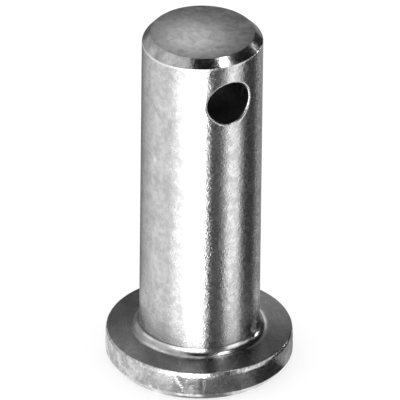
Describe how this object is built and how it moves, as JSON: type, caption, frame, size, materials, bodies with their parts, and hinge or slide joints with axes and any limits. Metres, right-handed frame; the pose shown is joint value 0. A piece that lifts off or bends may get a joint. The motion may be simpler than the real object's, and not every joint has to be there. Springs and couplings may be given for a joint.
{
  "type": "clevis pin",
  "caption": "Headed clevis pin: a plain round shank with a flat head, a chamfered free end and a cross hole near that end for a split pin.",
  "frame": {"origin": "centre of the head's outer face, on which the pin stands", "axes": "+Z along the pin's axis from the head to the free end; the split pin's hole runs along Y"},
  "size_m": [0.0154, 0.0154, 0.0308],
  "materials": {
    "pin_steel": "bright plated steel, turned, with a fine mottle"
  },
  "bodies": {
    "root": {"clevis_pin": "pin_steel"}
  },
  "joints": []
}
